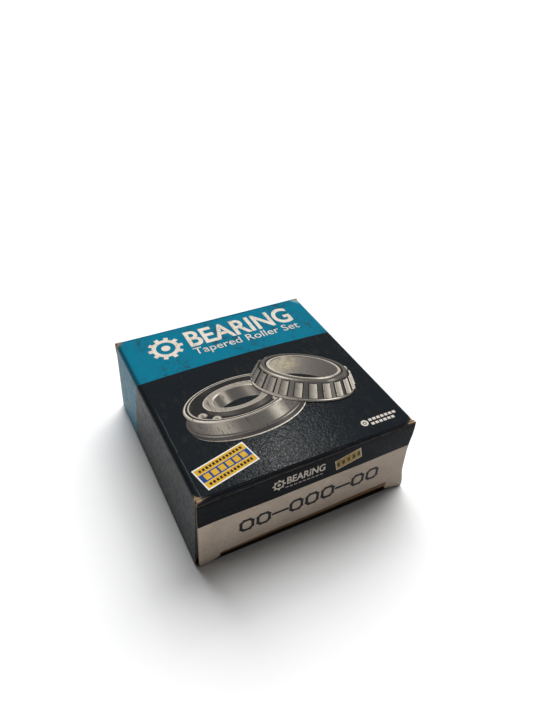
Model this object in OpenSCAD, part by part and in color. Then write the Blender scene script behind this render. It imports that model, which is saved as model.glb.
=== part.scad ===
// Single-row tapered roller bearing, size 40 x 80 x 24.75, in its straight-tuck folding carton.
// Lengths in millimetres. Origin: middle of the carton's underside. +Z up, the front end faces -Y.

/* [Carton] */
// Outside width, across the front end
carton_width = 86; // [85:0.5:92]
// Outside depth, front end to rear end
carton_depth = 90; // [89:0.5:96]
// Outside height, lying flat
carton_height = 35; // [34:0.5:40]
// Thickness of the folding boxboard
board = 0.5; // [0.4:0.05:0.6]
// Air left between two boards that lie side by side
board_gap = 0.1; // [0.05:0.05:0.15]

/* [End closures] */
// Height of the tuck crease above the table
tuck_crease_height = 3; // [2.8:0.1:3.2]
// Depth of the tuck flap, from crease to free edge
tuck_depth = 9; // [7:0.5:9]
// How far the relaxed tuck flap leans up from level
tuck_lean = 1.5; // [1:0.5:2]
// Width of each foot beside the tuck flap
foot_width = 8; // [6:0.5:10]
// Reach of a dust flap from its crease
dust_flap_length = 22; // [16:1:24]
// How much height a dust flap loses for each millimetre of reach
dust_flap_taper = 0.66; // [0.66:0.02:0.8]

/* [Bearing] */
// Height of the cup's back face above the table
bearing_height = 4.2; // [4.2:0.1:4.6]
// Outside diameter of the cup
outer_diameter = 80; // [79:0.5:80]
// Bore of the cone
bore_diameter = 40; // [36:0.5:40]
// Width of the cup
cup_width = 19; // [18.5:0.25:19]
// Width of the cone
cone_width = 23; // [22.5:0.25:23]
// Width of the assembled bearing
bearing_width = 24.75; // [24.75:0.25:25]
// Corner chamfer of the rings
ring_chamfer = 1.5; // [1:0.1:1.5]
// Smaller inside diameter of the cup's raceway
cup_small_diameter = 64.715; // [64.7:0.005:64.73]
// Slope of the cup's raceway, in degrees
contact_angle = 14.036; // [14.03:0.002:14.04]

/* [Rollers and cage] */
// Half the taper of a roller, in degrees
roller_half_taper = 1.888; // [1.88:0.002:1.9]
// Length of a roller
roller_length = 16; // [15:0.25:16]
// Play of a roller against each raceway
roller_play = 0.04; // [0.03:0.01:0.08]
// Thickness of the pressed cage sheet
cage_sheet = 1.2; // [0.8:0.1:1.3]

/* [Hidden] */
$fn = 96;

printed_black = [0.14, 0.15, 0.16];
printed_teal = [0.05, 0.44, 0.55];
inner_kraft = [0.66, 0.55, 0.42];
ring_steel = [0.72, 0.73, 0.74];
roller_steel = [0.80, 0.81, 0.82];
cage_steel = [0.50, 0.51, 0.52];

half_width = carton_width / 2;
half_depth = carton_depth / 2;
panel_inset = board + board_gap / 2;
dust_inset = board + board_gap;
side_inset = 2 * board + 2 * board_gap;
fold_half = half_width - foot_width;
tuck_corner = 4;
glue_width = 13.5;
glue_length = 80;
glue_taper = 4;

// Every roller and raceway line meets in one apex on the bearing's axis.
roller_count = 17;
cup_slope = tan(contact_angle);
apex = -cup_small_diameter / 2 / cup_slope;
roller_lean = contact_angle - roller_half_taper;
roller_slope = tan(roller_half_taper);
roller_small_end = 136.12;
roller_big_end = roller_small_end + roller_length;
rib_play = 0.05;
small_rib_play = 0.22;
small_rib_radius = 25.7;
big_rib_radius = 29.4;
cage_offset = 1.6;
cage_small_end = roller_small_end - 2.32;
cage_big_end = roller_big_end + 2.08;
cage_lip = -1.5;
pocket_play = 0.2;
pocket_end_play = 0.15;

// Radius and height of a point `along` a roller's axis from the apex and `off` it, outward.
function on_axis(along, off) = [
    along * sin(roller_lean) + off * cos(roller_lean),
    apex + along * cos(roller_lean) - off * sin(roller_lean)];

// Distance off a roller's axis at which the station `along` reaches a given radius.
function off_at(along, radius) = (radius - along * sin(roller_lean)) / cos(roller_lean);

// A flat outline in X and Z, given its thickness along Y.
module upright(y_from, thick) {
    translate([0, y_from + thick, 0])
        rotate([90, 0, 0])
            linear_extrude(height = thick)
                children();
}

module top_panel() {
    color(printed_black)
        translate([-half_width, -half_depth + panel_inset, carton_height - board])
            cube([carton_width, carton_depth - 2 * panel_inset, board]);
}

module bottom_panel() {
    color(inner_kraft)
        translate([-half_width, -half_depth + dust_inset, 0])
            cube([carton_width, carton_depth - 2 * dust_inset, board]);
}

module side_panel() {
    translate([-half_width, -half_depth + side_inset, board])
        cube([board, carton_depth - 2 * side_inset, carton_height - 2 * board]);
}

module left_side_panel() {
    color(printed_black)
        side_panel();
}

module right_side_panel() {
    color(printed_black)
        mirror([1, 0, 0])
            side_panel();
}

// The seam flap is bonded inside the right side panel.
module glue_flap() {
    color(inner_kraft)
        translate([half_width - 2 * board, 0, board])
            rotate([90, 0, 90])
                linear_extrude(height = board)
                    polygon([
                        [-glue_length / 2, 0],
                        [glue_length / 2, 0],
                        [glue_length / 2 - glue_taper, glue_width],
                        [-glue_length / 2 + glue_taper, glue_width]]);
}

// The end panel's lower corners run down past the tuck crease as two slanted feet.
module end_panel() {
    upright(-half_depth, board)
        polygon([
            [-half_width, carton_height],
            [-half_width, 0.35],
            [-half_width + 1, 0.1],
            [-fold_half - 0.5, 1.4],
            [-fold_half, tuck_crease_height],
            [fold_half, tuck_crease_height],
            [fold_half + 0.5, 1.4],
            [half_width - 1, 0.1],
            [half_width, 0.35],
            [half_width, carton_height]]);
}

module tuck_flap() {
    translate([0, -half_depth, tuck_crease_height])
        rotate([tuck_lean, 0, 0])
            linear_extrude(height = board)
                polygon([
                    [-fold_half, panel_inset],
                    [fold_half, panel_inset],
                    [fold_half - 0.6, tuck_depth - tuck_corner],
                    [fold_half - 1.8, tuck_depth - 0.3 * tuck_corner],
                    [fold_half - tuck_corner - 0.6, tuck_depth],
                    [-fold_half + tuck_corner + 0.6, tuck_depth],
                    [-fold_half + 1.8, tuck_depth - 0.3 * tuck_corner],
                    [-fold_half + 0.6, tuck_depth - tuck_corner]]);
}

module dust_flap() {
    upright(-half_depth + dust_inset, board)
        polygon([
            [-half_width, tuck_crease_height + 1.2],
            [-half_width + dust_flap_length, tuck_crease_height + 2],
            [-half_width + dust_flap_length, carton_height - 1 - dust_flap_taper * dust_flap_length],
            [-half_width, carton_height - 1]]);
}

module front_end_panel() {
    color(printed_black)
        end_panel();
}

module front_tuck_flap() {
    color(inner_kraft)
        tuck_flap();
}

module front_left_dust_flap() {
    color(inner_kraft)
        dust_flap();
}

module front_right_dust_flap() {
    color(inner_kraft)
        mirror([1, 0, 0])
            dust_flap();
}

module rear_end_panel() {
    color(printed_teal)
        mirror([0, 1, 0])
            end_panel();
}

module rear_tuck_flap() {
    color(inner_kraft)
        mirror([0, 1, 0])
            tuck_flap();
}

module rear_left_dust_flap() {
    color(inner_kraft)
        mirror([0, 1, 0])
            dust_flap();
}

module rear_right_dust_flap() {
    color(inner_kraft)
        mirror([1, 0, 0])
            mirror([0, 1, 0])
                dust_flap();
}

module cup() {
    radius = outer_diameter / 2;
    small = cup_small_diameter / 2;
    color(ring_steel)
        translate([0, 0, bearing_height])
            rotate_extrude()
                polygon([
                    [small + 0.6, 0],
                    [radius - ring_chamfer, 0],
                    [radius, ring_chamfer],
                    [radius, cup_width - ring_chamfer],
                    [radius - ring_chamfer, cup_width],
                    [small + cup_slope * cup_width + 0.5, cup_width],
                    [small + cup_slope * (cup_width - 0.4), cup_width - 0.4],
                    [small + cup_slope * 0.6, 0.6]]);
}

module cone() {
    bore = bore_diameter / 2;
    foot = bearing_width - cone_width;
    small_rib = roller_small_end - small_rib_play;
    big_rib = roller_big_end + rib_play;
    color(ring_steel)
        translate([0, 0, bearing_height])
            rotate_extrude()
                polygon([
                    [bore, foot + ring_chamfer],
                    [bore + ring_chamfer, foot],
                    [small_rib_radius - 0.5, foot],
                    [small_rib_radius, foot + 0.5],
                    on_axis(small_rib, off_at(small_rib, small_rib_radius)),
                    on_axis(small_rib, -small_rib * roller_slope),
                    on_axis(big_rib, -big_rib * roller_slope),
                    on_axis(big_rib, off_at(big_rib, big_rib_radius)),
                    [big_rib_radius, bearing_width - 1],
                    [big_rib_radius - 1, bearing_width],
                    [bore + ring_chamfer, bearing_width],
                    [bore, bearing_width - ring_chamfer]]);
}

// Stands a shape built up the Z axis, measured from the apex, on one roller's leaning axis.
module on_roller(index) {
    translate([0, 0, bearing_height + apex])
        rotate([0, 0, index * 360 / roller_count - 90])
            rotate([0, roller_lean, 0])
                children();
}

module cage_pocket(index) {
    start = roller_small_end - pocket_end_play;
    finish = roller_big_end + pocket_end_play;
    on_roller(index)
        translate([0, 0, start])
            cylinder(h = finish - start,
                r1 = start * roller_slope + pocket_play,
                r2 = finish * roller_slope + pocket_play);
}

module cage() {
    color(cage_steel)
        difference() {
            translate([0, 0, bearing_height])
                rotate_extrude()
                    polygon([
                        on_axis(cage_small_end, cage_lip),
                        on_axis(cage_small_end, cage_offset + cage_sheet),
                        on_axis(cage_big_end, cage_offset + cage_sheet),
                        on_axis(cage_big_end, cage_offset),
                        on_axis(cage_small_end + 1, cage_offset),
                        on_axis(cage_small_end + 1, cage_lip)]);
            for (index = [0:roller_count - 1])
                cage_pocket(index);
        }
}

module roller(index) {
    small = roller_small_end * roller_slope - roller_play;
    big = roller_big_end * roller_slope - roller_play;
    color(roller_steel)
        on_roller(index)
            translate([0, 0, roller_small_end])
                rotate_extrude()
                    polygon([
                        [0, 0],
                        [small - 0.4, 0],
                        [small, 0.4],
                        [big, roller_length - 0.4],
                        [big - 0.4, roller_length],
                        [2.2, roller_length],
                        [1.8, roller_length - 0.3],
                        [0, roller_length - 0.3]]);
}

top_panel();
bottom_panel();
left_side_panel();
right_side_panel();
glue_flap();
front_end_panel();
front_tuck_flap();
front_left_dust_flap();
front_right_dust_flap();
rear_end_panel();
rear_tuck_flap();
rear_left_dust_flap();
rear_right_dust_flap();
cup();
cone();
cage();
roller(0);  // roller_01
roller(1);  // roller_02
roller(2);  // roller_03
roller(3);  // roller_04
roller(4);  // roller_05
roller(5);  // roller_06
roller(6);  // roller_07
roller(7);  // roller_08
roller(8);  // roller_09
roller(9);  // roller_10
roller(10);  // roller_11
roller(11);  // roller_12
roller(12);  // roller_13
roller(13);  // roller_14
roller(14);  // roller_15
roller(15);  // roller_16
roller(16);  // roller_17
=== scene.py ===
# %% [markdown]
# # A tapered roller bearing in its printed folding carton
# The object is a closed carton of thin coated board, a little worn, with a tapered roller bearing
# lying inside it. The packed model gives every piece its true place, in metres: the carton's
# underside is at z = 0 and its front end faces -Y. This lesson puts real board, print and steel
# around that frame. The frame is loaded first, because every size below is read from it.

import math
import bpy
import bmesh
import numpy as np
from mathutils import Matrix, Vector


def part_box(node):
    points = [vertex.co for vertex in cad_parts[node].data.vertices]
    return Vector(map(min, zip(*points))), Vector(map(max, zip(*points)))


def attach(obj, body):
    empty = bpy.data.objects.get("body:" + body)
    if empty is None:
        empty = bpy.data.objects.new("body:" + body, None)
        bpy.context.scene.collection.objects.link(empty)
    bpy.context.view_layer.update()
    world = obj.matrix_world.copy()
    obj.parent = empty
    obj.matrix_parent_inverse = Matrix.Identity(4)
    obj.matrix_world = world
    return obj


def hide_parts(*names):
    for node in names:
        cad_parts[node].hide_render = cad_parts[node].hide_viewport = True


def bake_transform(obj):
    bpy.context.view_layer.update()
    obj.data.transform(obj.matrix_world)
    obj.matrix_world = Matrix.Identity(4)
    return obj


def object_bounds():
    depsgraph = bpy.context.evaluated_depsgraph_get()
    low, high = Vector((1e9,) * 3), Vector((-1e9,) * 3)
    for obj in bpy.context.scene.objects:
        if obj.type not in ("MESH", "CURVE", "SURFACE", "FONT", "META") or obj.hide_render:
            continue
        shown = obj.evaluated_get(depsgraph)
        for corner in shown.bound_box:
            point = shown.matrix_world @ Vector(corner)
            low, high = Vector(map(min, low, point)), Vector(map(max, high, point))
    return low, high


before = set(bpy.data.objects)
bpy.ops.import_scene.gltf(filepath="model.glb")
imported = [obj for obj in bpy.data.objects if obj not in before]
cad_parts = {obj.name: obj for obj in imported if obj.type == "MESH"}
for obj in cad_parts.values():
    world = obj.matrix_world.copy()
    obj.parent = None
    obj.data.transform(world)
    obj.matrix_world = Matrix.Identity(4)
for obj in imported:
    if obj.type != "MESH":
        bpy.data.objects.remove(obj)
CAD_BOX = [list(map(float, corner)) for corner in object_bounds()]
MM = 0.001
SLEEVE_NODES = ["top_panel", "bottom_panel", "left_side_panel", "right_side_panel", "glue_flap"]
print("frame loaded:", len(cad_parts), "nodes, box", CAD_BOX)

# %% Read the carton's sizes from the frame, in millimetres
low, high = (np.array(corner) / MM for corner in CAD_BOX)
HALF_WIDTH = (high[0] - low[0]) / 2
HALF_DEPTH = (high[1] - low[1]) / 2
HEIGHT = high[2]
BOARD = 0.5
TUCK_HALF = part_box("front_tuck_flap")[1][0] / MM
TUCK_Z = 3.0
print("carton", 2 * HALF_WIDTH, 2 * HALF_DEPTH, HEIGHT, "tuck flap half width", TUCK_HALF)

# %% [markdown]
# ## The camera and the light
# The carton is looked down on from its front left, near enough for the perspective to show. The main
# light is a very broad sun behind it, so both near sides are in soft shade and are lit mostly by the
# floor. Its mirror image would lay a grey veil over the whole varnished top, so it gives none. A
# small weak window, high up behind, makes the one sheen on the front of the top.

# %% Set up the camera
def add_camera(place, forward, up, lens):
    """The scene's camera, looking along forward with its top towards up."""
    data = bpy.data.cameras.new("camera")
    data.lens = lens
    data.sensor_width = 36
    data.clip_start = 0.01
    camera = bpy.data.objects.new("camera", data)
    bpy.context.scene.collection.objects.link(camera)
    forward, up = Vector(forward).normalized(), Vector(up)
    right = forward.cross(up).normalized()
    up = right.cross(forward)
    turn = Matrix((right, up, -forward)).transposed().to_4x4()
    camera.matrix_world = Matrix.Translation(place) @ turn
    bpy.context.scene.camera = camera


CAMERA_PLACE = (-0.08266, -0.15911, 0.18919)
LOOK = (0.37531, 0.68848, -0.62059)
CAMERA_TOP = (0.25469, 0.56716, 0.78324)
LENS = 30.76
add_camera(CAMERA_PLACE, LOOK, CAMERA_TOP, LENS)
print("camera at", CAMERA_PLACE, "with a lens of", LENS, "mm")


# %% Set up the lights
def add_light(name, kind, place, aim, energy, **settings):
    """A light at place that points at aim; a sun only takes its direction from them."""
    data = bpy.data.lights.new(name, kind)
    data.energy = energy
    for key, value in settings.items():
        setattr(data, key, value)
    light = bpy.data.objects.new(name, data)
    bpy.context.scene.collection.objects.link(light)
    light.location = place
    light.rotation_euler = (Vector(aim) - Vector(place)).to_track_quat("-Z", "Y").to_euler()
    return light


SKY_FROM, SKY_ENERGY, SKY_SPREAD = (0.40, 0.63, 0.79), 4.9, 65
ROOM_STRENGTH = 0.085
scene = bpy.context.scene
scene.view_settings.view_transform = "Standard"
scene.view_settings.look = "None"
sky = add_light("sky", "SUN", SKY_FROM, (0, 0, 0), SKY_ENERGY, angle=math.radians(SKY_SPREAD))
sky.visible_glossy = False
add_light("window", "AREA", (0.160, 0.222, 0.40), (-0.008, -0.037, 0.035), 0.085,
          shape="RECTANGLE", size=0.04, size_y=0.035, color=(1, 0.99, 0.97))
world = bpy.data.worlds.new("room")
world.use_nodes = True
background = world.node_tree.nodes["Background"]
background.inputs["Color"].default_value = (0.96, 0.98, 1, 1)
background.inputs["Strength"].default_value = ROOM_STRENGTH
scene.world = world

# %% [markdown]
# ## A small language for finishes
# Print, board and steel are all built from noise and position. Wiring those by hand is long, so a
# `Wire` stands for one output socket and answers to + - * /: the expression adds the Math nodes.
# A `Finish` is one material, with a single method that adds any other node and a few short ones for
# what every finish here needs: grain, position, a mix of two colours, and a bump.

# %% The wire
def math_method(operation, reflected=False):
    """A method that adds one Math node; reflected puts the other value first."""
    def method(wire, other):
        values = (other, wire) if reflected else (wire, other)
        return wire.finish.node("ShaderNodeMath", {"operation": operation}, dict(enumerate(values)))
    return method


class Wire:
    """One output of a node; sums and products of wires add Math nodes."""

    __add__ = math_method("ADD")
    __radd__ = math_method("ADD", reflected=True)
    __sub__ = math_method("SUBTRACT")
    __rsub__ = math_method("SUBTRACT", reflected=True)
    __mul__ = math_method("MULTIPLY")
    __rmul__ = math_method("MULTIPLY", reflected=True)
    __truediv__ = math_method("DIVIDE")
    __pow__ = math_method("POWER")

    def __init__(self, finish, socket):
        self.finish, self.socket = finish, socket

    def __abs__(self):
        return self.finish.node("ShaderNodeMath", {"operation": "ABSOLUTE"}, {0: self})

    def rise(self, start, end):
        """0 before start, 1 after end, smooth between; end may be the smaller."""
        return self.finish.node(
            "ShaderNodeMapRange", {"interpolation_type": "SMOOTHSTEP", "clamp": True},
            {"Value": self, "From Min": start, "From Max": end, "To Min": 0.0, "To Max": 1.0})


print("a wire answers to + - * / ** abs and rise")


# %% The finish
class Finish:
    """One procedural material around a Principled shader."""

    def __init__(self, name, **constants):
        self.material = bpy.data.materials.new(name)
        self.material.use_nodes = True
        self.tree = self.material.node_tree
        self.shader = self.tree.nodes["Principled BSDF"]
        self.set(**constants)

    def node(self, kind, settings=None, inputs=None, output=0):
        made = self.tree.nodes.new(kind)
        for key, value in (settings or {}).items():
            if key == "stops":
                ramp = made.color_ramp.elements
                for element, (position, color) in zip([ramp[0], ramp[1]], value[:2]):
                    element.position, element.color = position, (*color, 1)
                for position, color in value[2:]:
                    ramp.new(position).color = (*color, 1)
            else:
                setattr(made, key, value)
        for key, value in (inputs or {}).items():
            self.feed(made.inputs[key], value)
        return Wire(self, made.outputs[output])

    def feed(self, socket, value):
        if isinstance(value, Wire):
            self.tree.links.new(value.socket, socket)
        elif isinstance(value, tuple) and len(value) == 3 and socket.type == "RGBA":
            socket.default_value = (*value, 1)
        else:
            socket.default_value = value

    def set(self, **sockets):
        """Sets or links sockets of the Principled shader; Base_Color means Base Color."""
        for key, value in sockets.items():
            self.feed(self.shader.inputs[key.replace("_", " ")], value)

    def place(self):
        """Position on the object as one vector wire, in metres."""
        return self.node("ShaderNodeTexCoord", {}, {}, "Object")

    def axes(self):
        """Position on the object as three wires, in millimetres."""
        split = self.node("ShaderNodeSeparateXYZ", {}, {0: self.place()}).socket.node
        return [Wire(self, split.outputs[i]) / MM for i in range(3)]

    def attribute(self, name):
        """A value stored with the points or corners of the mesh."""
        return self.node("ShaderNodeAttribute", {"attribute_name": name}, {}, "Fac")

    def grain(self, size_mm, detail=2.0, roughness=0.5, stretch=(1, 1, 1), shift=0.0):
        """Noise between 0 and 1 whose blobs are about size_mm across."""
        vector = self.node("ShaderNodeMapping", {}, {"Vector": self.place(), "Scale": stretch,
                                                    "Location": (shift, shift, shift)})
        return self.node("ShaderNodeTexNoise", {}, {
            "Vector": vector, "Scale": 1 / (size_mm * MM), "Detail": detail, "Roughness": roughness})

    def mix(self, share, first, second):
        """The first colour where share is 0 and the second where it is 1."""
        made = self.tree.nodes.new("ShaderNodeMix")
        made.data_type = "RGBA"
        for key, value in {0: share, 6: first, 7: second}.items():
            self.feed(made.inputs[key], value)
        return Wire(self, made.outputs[2])

    def bump(self, height, depth_mm):
        """Feeds a height between 0 and 1, depth_mm deep, to the shader's normal."""
        normal = self.node("ShaderNodeBump", {}, {
            "Height": height, "Distance": depth_mm * MM, "Strength": 1.0})
        self.set(Normal=normal)


print("a finish can:", [name for name in vars(Finish) if not name.startswith("_")])


# %% Colours as they look on a card
def paint(red, green, blue):
    """A colour as seen on a white card, 0 to 255, as the linear light Blender works in."""
    return tuple(((c / 255 + 0.055) / 1.055) ** 2.4 if c > 10 else c / 255 / 12.92
                 for c in (red, green, blue))


print("one teal in linear light:", paint(1, 113, 140))

# %% [markdown]
# ## The floor
# A plain white sweep, large enough to fill the view. It is only a stage, not part of the object.

# %% Lay the floor
floor_finish = Finish("floor_paper", Roughness=0.9)
speckle = floor_finish.grain(3.0)
floor_finish.set(Base_Color=floor_finish.mix(speckle, (0.94, 0.94, 0.94), (0.955, 0.955, 0.955)))
bpy.ops.mesh.primitive_plane_add(size=9, location=(0, 0, 0))
floor = bpy.context.object
floor.name = "floor"
floor.data.materials.append(floor_finish.material)
print("floor", tuple(floor.dimensions))

# %% [markdown]
# ## Printed board
# The carton is grey-brown board with a white clay coat, printed teal and charcoal and varnished.
# The print is painted by position: a teal band over the back of the top and round the side, and
# charcoal elsewhere. Where creases and corners rub, ink and clay go and the brown fibres show. A
# stored value called `rub` says how exposed a point is, and noise breaks its edge up. The varnish
# is not flat: the board's fibres leave a fine orange peel, which breaks the sheen up.

# %% Colours of the print and the board
TEAL = paint(0, 114, 141)
CHARCOAL = paint(26, 31, 35)
CREAM = paint(226, 216, 202)
PALE_END = paint(216, 199, 182)
RAW_BOARD = paint(150, 128, 104)
FIBRE = paint(176, 152, 122)
GRIME = paint(58, 46, 36)
print("print colours:", [round(c, 3) for c in TEAL], [round(c, 3) for c in CHARCOAL])


# %% Wear, stains and varnish shared by every printed face
def worn_print(finish, ink, wear=1.0, soil=1.0):
    """The worn colour over an ink's colour, and how bare each point of the board is."""
    rub = finish.attribute("rub")
    ragged = finish.grain(0.9, 4.0, 0.65)
    coarse = finish.grain(4.5, 3.0, 0.6, shift=0.3)
    bare = (rub * wear + ragged * 0.55 + coarse * 0.35).rise(0.98, 1.16)
    fading = (rub * wear + coarse * 0.5).rise(0.55, 1.05) * 0.5
    scuffs = finish.grain(2.2, 5.0, 0.7, stretch=(0.25, 1, 1), shift=0.7).rise(0.66, 0.80) * 0.05
    clusters = finish.grain(10, 3.0, 0.6, shift=2.1).rise(0.40, 0.62)
    specks = finish.grain(0.7, 3.0, 0.6, shift=1.3).rise(0.57, 0.63) * clusters * soil
    streaks = finish.grain(2.0, 4.0, 0.65, stretch=(1, 0.35, 1), shift=3.3).rise(0.52, 0.64)
    streaks = streaks * clusters * soil
    mottle = finish.grain(0.8, 3.0, 0.6, shift=5.1)
    color = finish.mix(mottle * 0.30, ink, (0.004, 0.005, 0.006))
    color = finish.mix(scuffs, color, FIBRE)
    color = finish.mix(streaks * 0.6, color, paint(40, 40, 38))
    color = finish.mix(specks * 0.85, color, paint(35, 32, 29))
    color = finish.mix(fading, color, finish.mix(ragged, FIBRE, GRIME))
    return finish.mix(bare, color, finish.mix(ragged, RAW_BOARD, FIBRE)), bare


def varnish(finish, bare, gloss=0.04, calm=0.0):
    """Broken semi-gloss varnish over the board's fine orange peel; calm flattens it."""
    peel = finish.grain(1.3, 3.0, 0.55)
    fine = finish.grain(0.28, 2.0, 0.6, shift=0.9)
    waves = finish.grain(14, 2.0, 0.5, shift=1.7)
    patch = finish.grain(6, 4.0, 0.6, shift=2.9)
    spots = finish.grain(1.3, 4.0, 0.65, shift=8.1).rise(0.40, 0.60)
    finish.set(Roughness=bare * 0.45 + patch * 0.12 + spots * 0.12 + fine * 0.05 + gloss)
    finish.bump((peel * 0.55 + fine * 0.06) * (1 - calm) + waves * 0.6 - bare * 0.3, 0.17)


def printed(name, ink_of, wear=1.0, gloss=0.04, side_gloss=0.0, shine=0.22, soil=1.0):
    """A printed board finish; ink_of(finish, x, y, z) gives the ink's colour.

    gloss and side_gloss are roughness: the sides, which are handled most, are the dullest.
    """
    finish = Finish(name, Specular_IOR_Level=shine)
    x, y, z = finish.axes()
    on_side = abs(x).rise(HALF_WIDTH - 1.2, HALF_WIDTH - 0.3)
    gloss = on_side * side_gloss + gloss
    color, bare = worn_print(finish, ink_of(finish, x, y, z), wear, soil)
    finish.set(Base_Color=color)
    varnish(finish, bare, gloss, on_side * 0.85)
    return finish.material


# %% The ink of the sleeve
BAND_EDGE = 16.0


def from_corner(x, y, corner_x, corner_y):
    """Distance from an upright line through a corner, as a wire."""
    return ((x - corner_x) * (x - corner_x) + (y - corner_y) * (y - corner_y)) ** 0.5


def sleeve_ink(finish, x, y, z):
    """Teal behind, charcoal in front, painted shade and highlight at the left crease, scrapes and stains
    at the corners.
    """
    drift = (HEIGHT - z) * 0.24
    wobble = finish.grain(1.2, 2.0) * 0.2
    arch = (x / HALF_WIDTH) * (x / HALF_WIDTH) * 0.9 - 0.6
    teal = (y + arch - drift + wobble).rise(BAND_EDGE - 0.12, BAND_EDGE + 0.12)
    color = finish.mix(teal, CHARCOAL, TEAL)
    ragged = finish.grain(1.4, 4.0, 0.65, shift=0.5)
    # Painted shade: the top's left crease is darkened nearly to black.
    edge = (x + HALF_WIDTH).rise(2.4, 0.6) * (z - HEIGHT).rise(-1.2, -0.3)
    color = finish.mix(edge * 0.6, color, (0.003, 0.004, 0.005))
    # A broken light rub line just inside the left crease, which also stands for the crease's painted
    # highlight.
    wander = finish.grain(7, 2.0, shift=9.3)
    line = abs(x + HALF_WIDTH - 1.7 - wander * 0.9).rise(0.20, 0.04) * wander.rise(0.36, 0.50)
    color = finish.mix(line * (y - 5).rise(0, -14) * 0.45, color, paint(104, 106, 102))
    crescent = from_corner(x, y, 45.5, 47) + ragged * 5
    scoured = abs(crescent - 8.6).rise(1.9, 0.5) * (z - HEIGHT).rise(-2, -0.5)
    color = finish.mix(scoured * 0.55, color, paint(150, 190, 192))
    stain = from_corner(x, y, -45, 46.5) + ragged * 5
    return finish.mix(stain.rise(8.6, 5.8) * 0.9, color, finish.mix(ragged, GRIME, FIBRE))


PRINTED_SLEEVE = printed("printed_sleeve", sleeve_ink, side_gloss=0.29)
print("sleeve print:", len(PRINTED_SLEEVE.node_tree.nodes), "nodes")

# %% The inks of the two ends
END_BAND = 22.5


def fold_line(x):
    """Height at which the end's print stops above the tuck's fold."""
    return x * 0.028 + 4.7


def front_ink(finish, x, y, z):
    """A charcoal band over pale card, a painted shadow and highlight along the score at the top, and a
    raw fold at the foot.
    """
    band = (z - x * 0.014).rise(END_BAND - 0.1, END_BAND + 0.1)
    blotch = finish.grain(11, 4.0, 0.6).rise(0.3, 0.8)
    pale = finish.mix(blotch, PALE_END, paint(200, 182, 164))
    # Painted shade: the pale card darkens towards the right.
    pale = finish.mix((x + 20).rise(0, 60) * 0.30, pale, paint(150, 138, 126))
    smudge = finish.grain(1.6, 5.0, 0.7, stretch=(1, 1, 0.5), shift=4.4).rise(0.60, 0.72)
    handled = (x + 43).rise(13, 2) * (z - 22).rise(1, -9)
    pale = finish.mix(smudge * (handled * 0.7 + 0.08), pale, GRIME)
    color = finish.mix(band, pale, paint(24, 27, 32))
    ragged = finish.grain(1.3, 3.0, 0.6, shift=0.8) * 0.5
    # Painted shadow: a near-black line along the score, where the top's crease meets the end.
    above = z - x * 0.021 + ragged - 33.2
    color = finish.mix(abs(above).rise(0.8, 0.35) * 0.95, color, (0.002, 0.002, 0.002))
    # Just above it a broken light line: rubbed fibres and a painted highlight.
    highlight_and_rub = abs(above - 0.75).rise(0.45, 0.12) * finish.grain(3.0, 4.0, 0.7, shift=6.1).rise(0.36, 0.56)
    color = finish.mix(highlight_and_rub * 0.45, color, paint(104, 96, 86))
    fold = (z - fold_line(x) + ragged * 0.5).rise(0.12, -0.12)
    fold = fold * abs(x).rise(TUCK_HALF + 0.2, TUCK_HALF)
    fibres = finish.grain(2.5, 4.0, 0.6, stretch=(0.3, 1, 1), shift=7.2)
    return finish.mix(fold, color, finish.mix(fibres, paint(112, 86, 60), paint(148, 116, 84)))


def rear_ink(finish, x, y, z):
    """Teal all over, a little blotched."""
    blotch = finish.grain(11, 4.0, 0.6).rise(0.3, 0.8)
    return finish.mix(blotch, TEAL, paint(4, 104, 130))


PRINTED_FRONT = printed("printed_front_end", front_ink, gloss=0.45, shine=0.09, soil=0.12)
PRINTED_REAR = printed("printed_rear_end", rear_ink, gloss=0.36, soil=0.3)
ENDS = (("front", -1, PRINTED_FRONT), ("rear", 1, PRINTED_REAR))
print("ends, the way each faces and its print:", [(end, facing, ink.name) for end, facing, ink in ENDS])


# %% The bare inside of the board and its cut edge
def bare_board(name, color, darker, layered=False):
    """Unprinted fibres with dark flecks, and painted shade low near the ends; layered shows the plies of
    a cut edge.
    """
    finish = Finish(name, Roughness=0.85, Specular_IOR_Level=0.25)
    fibres = finish.grain(0.9, 5.0, 0.7, stretch=(0.22, 1, 1))
    flecks = finish.grain(0.45, 2.0, 0.5, shift=0.4).rise(0.66, 0.78)
    tone = finish.mix(fibres, darker, color)
    y, z = finish.axes()[1:]
    # Painted shade: low down near the two ends every bare face turns nearly black, as if shaded by the
    # end panels.
    painted_shade_low_at_ends = abs(y).rise(HALF_DEPTH - 8, HALF_DEPTH - 4) * z.rise(2.2, 1.4)
    tone = finish.mix(painted_shade_low_at_ends * 0.9, tone, paint(34, 28, 24))
    if layered:
        tone = finish.mix(finish.grain(0.25, 3.0, 0.6).rise(0.45, 0.62) * 0.6, tone, darker)
    finish.set(Base_Color=finish.mix(flecks * 0.5, tone, GRIME))
    finish.bump(fibres + flecks * 0.3, 0.06)
    return finish.material


BARE_INSIDE = bare_board("bare_inside", paint(168, 150, 126), paint(138, 120, 98))
CUT_EDGE = bare_board("cut_edge", paint(158, 132, 102), paint(96, 76, 56), layered=True)
BOARD_SIDES = [PRINTED_SLEEVE, BARE_INSIDE, CUT_EDGE]
print("board finishes:", [m.name for m in (PRINTED_SLEEVE, PRINTED_FRONT, BARE_INSIDE, CUT_EDGE)])

# %% [markdown]
# ## Making board
# A piece of board is two grids of points, its printed face and its bare face, joined round the cut
# edge. Building both grids in code keeps the thickness true while the board bows and dents, and
# each side takes its own finish. `rub` is stored with every point as the piece is made.

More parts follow.
